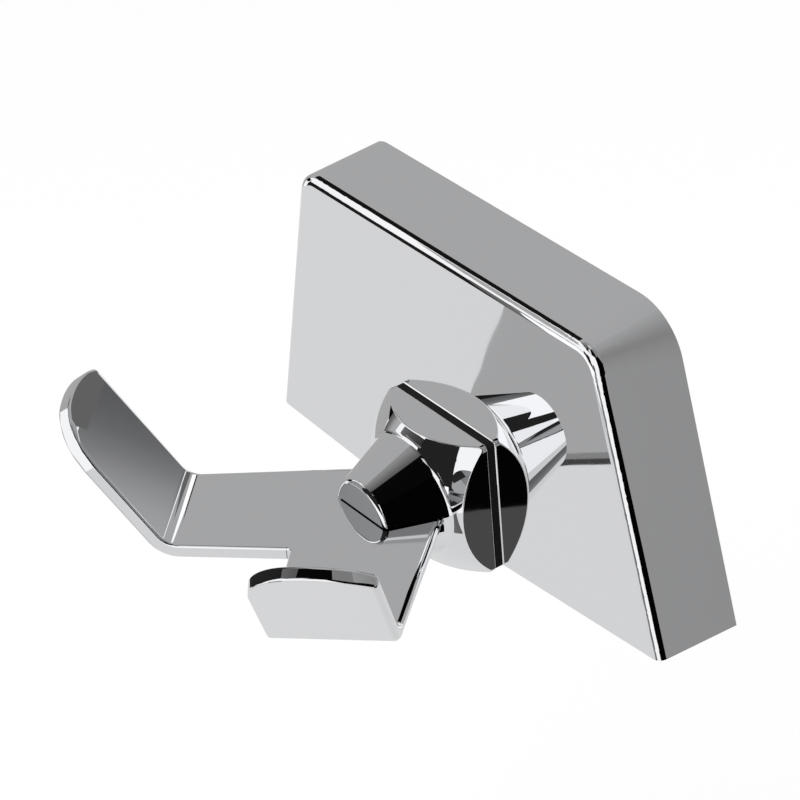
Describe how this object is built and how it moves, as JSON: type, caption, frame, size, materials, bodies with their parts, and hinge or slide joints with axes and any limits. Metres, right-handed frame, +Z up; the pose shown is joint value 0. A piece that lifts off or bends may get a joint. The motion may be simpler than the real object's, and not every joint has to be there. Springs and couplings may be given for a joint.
{
  "type": "double robe hook",
  "caption": "Wall hook with a flat hollow trapezoid cover and a turned, slotted boss that grips one bent strip with upturned flat ends for robes or towels.",
  "frame": {"origin": "on the wall plane, midway between the two wall screw holes, level with the boss axis", "axes": "+X to the right seen from the room, +Y into the wall, +Z up"},
  "size_m": [0.0957, 0.0734, 0.0484],
  "materials": {
    "polished_chrome": "polished",
    "plain_steel": "satin",
    "black_rubber": "matte"
  },
  "bodies": {
    "root": {"wall_plate": "polished_chrome", "rear_cone": "polished_chrome", "rear_cushion": "polished_chrome", "front_cushion": "polished_chrome", "front_cone": "polished_chrome", "double_hook": "polished_chrome", "spacer_washer": "black_rubber", "wall_bracket": "plain_steel", "grub_screw": "plain_steel", "clamp_screw": "plain_steel", "hook_screw": "plain_steel"}
  },
  "joints": []
}
